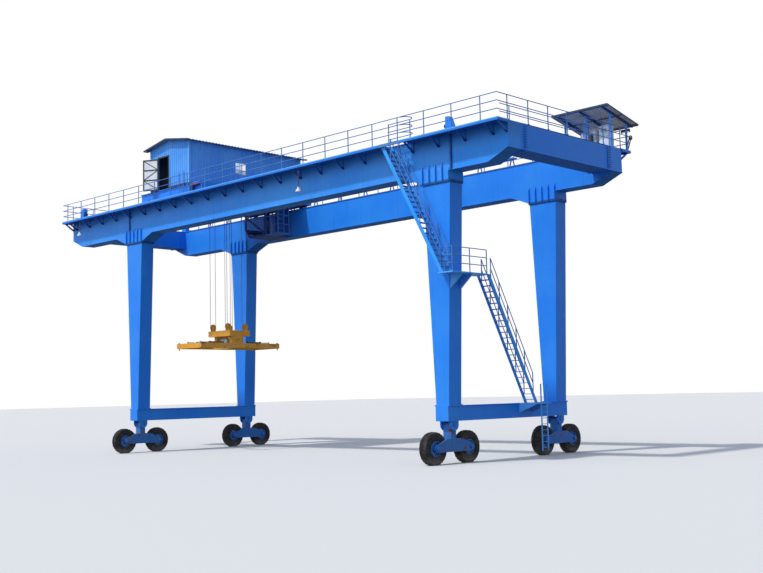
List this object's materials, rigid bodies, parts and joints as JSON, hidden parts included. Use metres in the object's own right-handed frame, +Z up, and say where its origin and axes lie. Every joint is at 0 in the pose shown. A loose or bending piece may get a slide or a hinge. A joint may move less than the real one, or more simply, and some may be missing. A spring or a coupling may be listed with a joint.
{
  "type": "rubber tyred gantry crane",
  "caption": "Rubber tyred gantry crane with twin box girders, cantilevered ends, side walkways, stair, and a travelling trolley carrying a machinery house, a cab and a spreader.",
  "frame": {"origin": "on the ground at the middle of the bounding box", "axes": "+X along the girders towards the short cantilever, +Z up, the near side with the stair at -Y"},
  "size_m": [36.85, 11.9996, 18.79],
  "materials": {
    "crane_blue": "gloss enamel",
    "deck_blue": "satin enamel",
    "rail_grey": "satin enamel",
    "rail_steel": "worn steel",
    "tyre": "matt",
    "roof_sheet": "weathered sheet",
    "cabinet_grey": "satin",
    "lamp_white": "satin",
    "door_grey": "satin",
    "motor_red": "primer",
    "glass": "clear",
    "seat": "matt",
    "rope": "greased",
    "spreader_yellow": "satin enamel"
  },
  "bodies": {
    "crane": {"near_girder": "crane_blue", "far_girder": "crane_blue", "right_end_beam": "crane_blue", "left_end_beam": "crane_blue", "near_walkway": "deck_blue", "far_walkway": "deck_blue", "near_handrail": "rail_grey", "far_handrail": "rail_grey", "end_handrails": "rail_grey", "trolley_rails": "rail_steel", "rail_stops": "crane_blue", "cable_ducts": "crane_blue", "near_right_leg": "crane_blue", "near_left_leg": "crane_blue", "far_right_leg": "crane_blue", "far_left_leg": "crane_blue", "right_sill_beam": "crane_blue", "left_sill_beam": "crane_blue", "right_bogies": "crane_blue", "left_bogies": "crane_blue", "right_tyres": "tyre", "left_tyres": "tyre", "upper_stair": "deck_blue", "lower_stair": "deck_blue", "stair_landings": "deck_blue", "stair_handrails": "rail_grey", "stair_guard": "rail_grey", "cable_trough": "rail_grey", "canopy_roof": "roof_sheet", "canopy_frame": "crane_blue", "electric_cabinets": "cabinet_grey", "cable_guide": "cabinet_grey", "floodlights": "lamp_white"},
    "trolley": {"trolley_frame": "crane_blue", "trolley_wheels": "rail_steel", "trolley_drives": "motor_red", "trolley_ladder": "rail_grey", "house_front_wall": "crane_blue", "house_back_wall": "crane_blue", "house_left_wall": "crane_blue", "house_right_wall": "crane_blue", "house_roof": "roof_sheet", "house_door": "door_grey", "house_window": "lamp_white", "cab_shell": "crane_blue", "cab_glass": "glass", "cab_hanger": "crane_blue", "cab_platform": "crane_blue", "cab_seat": "seat", "hoist_ropes": "rope", "headblock": "spreader_yellow", "spreader": "spreader_yellow"}
  },
  "joints": [
    {"name": "trolley_travel", "type": "slide", "parent": "crane", "child": "trolley", "axis": [1, 0, 0], "range_m": [-6.8, 18.62]}
  ]
}
